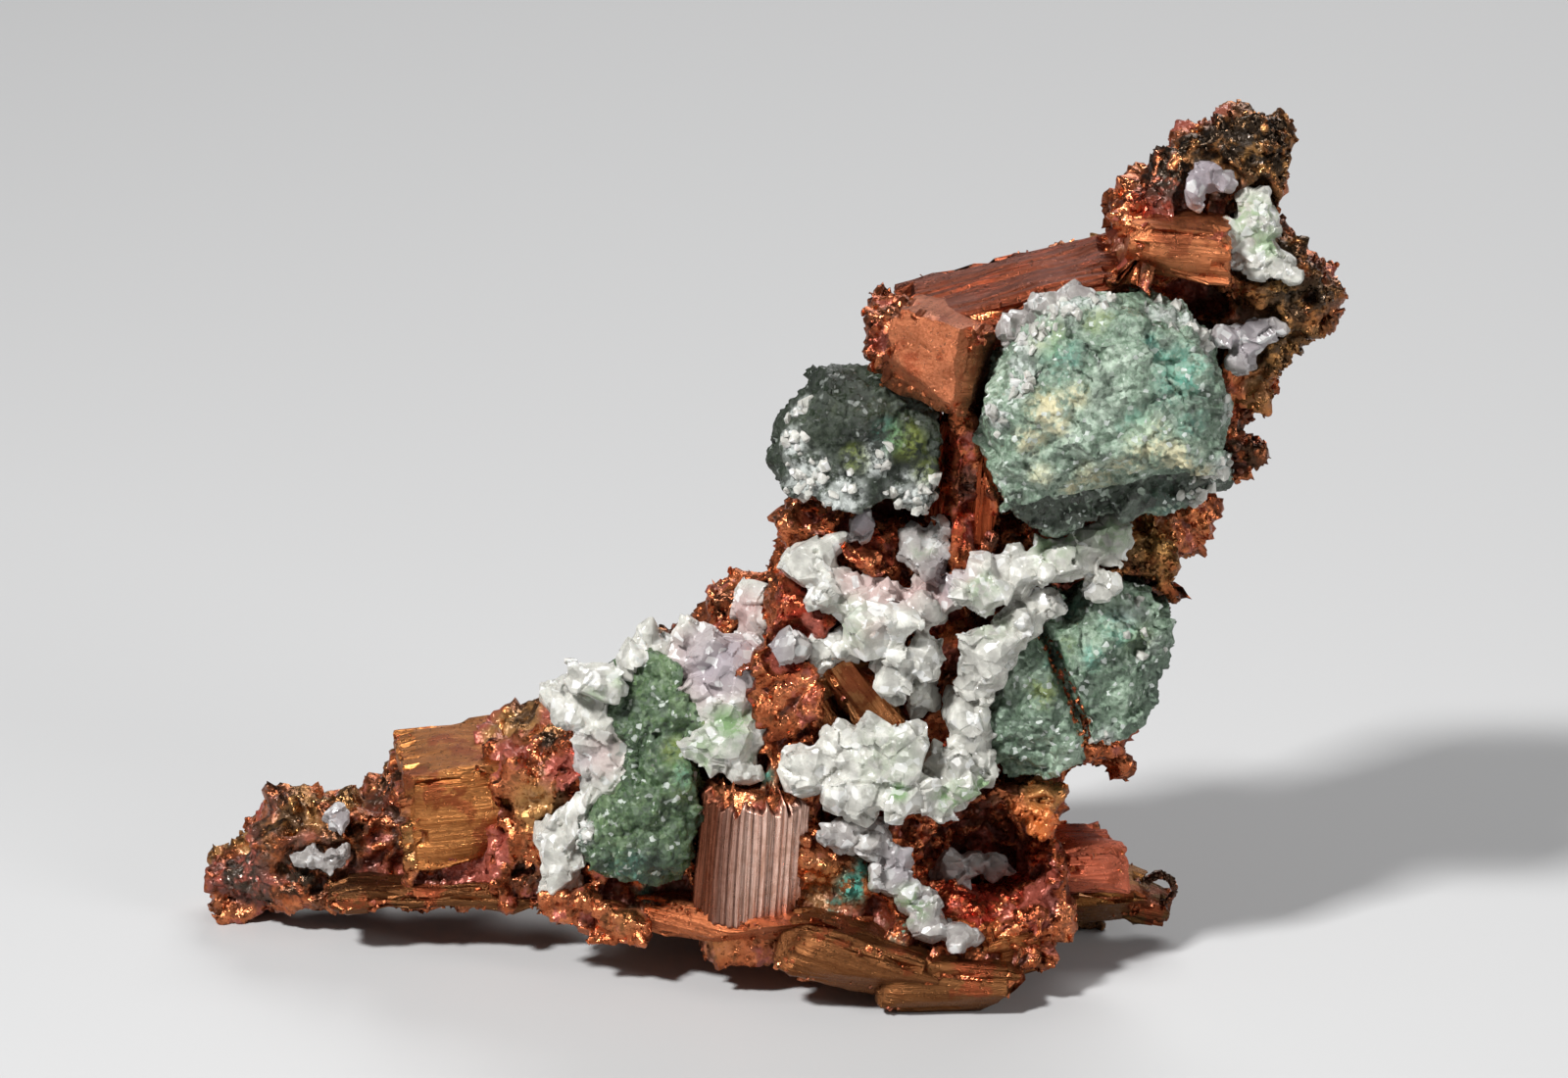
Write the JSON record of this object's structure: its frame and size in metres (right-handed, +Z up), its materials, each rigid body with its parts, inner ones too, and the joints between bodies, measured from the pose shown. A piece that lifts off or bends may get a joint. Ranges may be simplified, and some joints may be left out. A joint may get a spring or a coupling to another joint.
{
  "type": "native copper nugget",
  "caption": "Boomerang-shaped mass of hackly native copper crystals with green rock fragments and clusters of small milky quartz crystals grown into it, standing on its base.",
  "frame": {"origin": "centre of the bounding box's base, on the surface that the piece stands on", "axes": "+X to the right along the longest extent, as seen from the front; +Y away from the viewer, through the thickness; +Z up"},
  "size_m": [0.0588, 0.0232, 0.0447],
  "materials": {
    "native_copper": "bare native copper, tarnished orange to brown, with red cuprite in the hollows",
    "green_rock": "granular green altered rock, dull with fine sparkle",
    "quartz": "milky translucent quartz crystals, glassy"
  },
  "bodies": {
    "root": {"copper": "native_copper", "green_stone_large": "green_rock", "green_stone_left": "green_rock", "green_stone_lobed": "green_rock", "green_stone_small": "green_rock", "quartz_arm": "quartz", "quartz_arm_grain": "quartz", "quartz_brow": "quartz", "quartz_cavity": "quartz", "quartz_centre": "quartz", "quartz_crest": "quartz", "quartz_flank": "quartz", "quartz_grey_grain": "quartz", "quartz_knob": "quartz", "quartz_ledge": "quartz", "quartz_left_crown": "quartz", "quartz_left_drift": "quartz", "quartz_neck": "quartz", "quartz_pale_blade": "quartz", "quartz_right_drift": "quartz", "quartz_right_edge": "quartz", "quartz_row": "quartz", "quartz_shoulder": "quartz", "quartz_top": "quartz", "quartz_underlip": "quartz"}
  },
  "joints": []
}
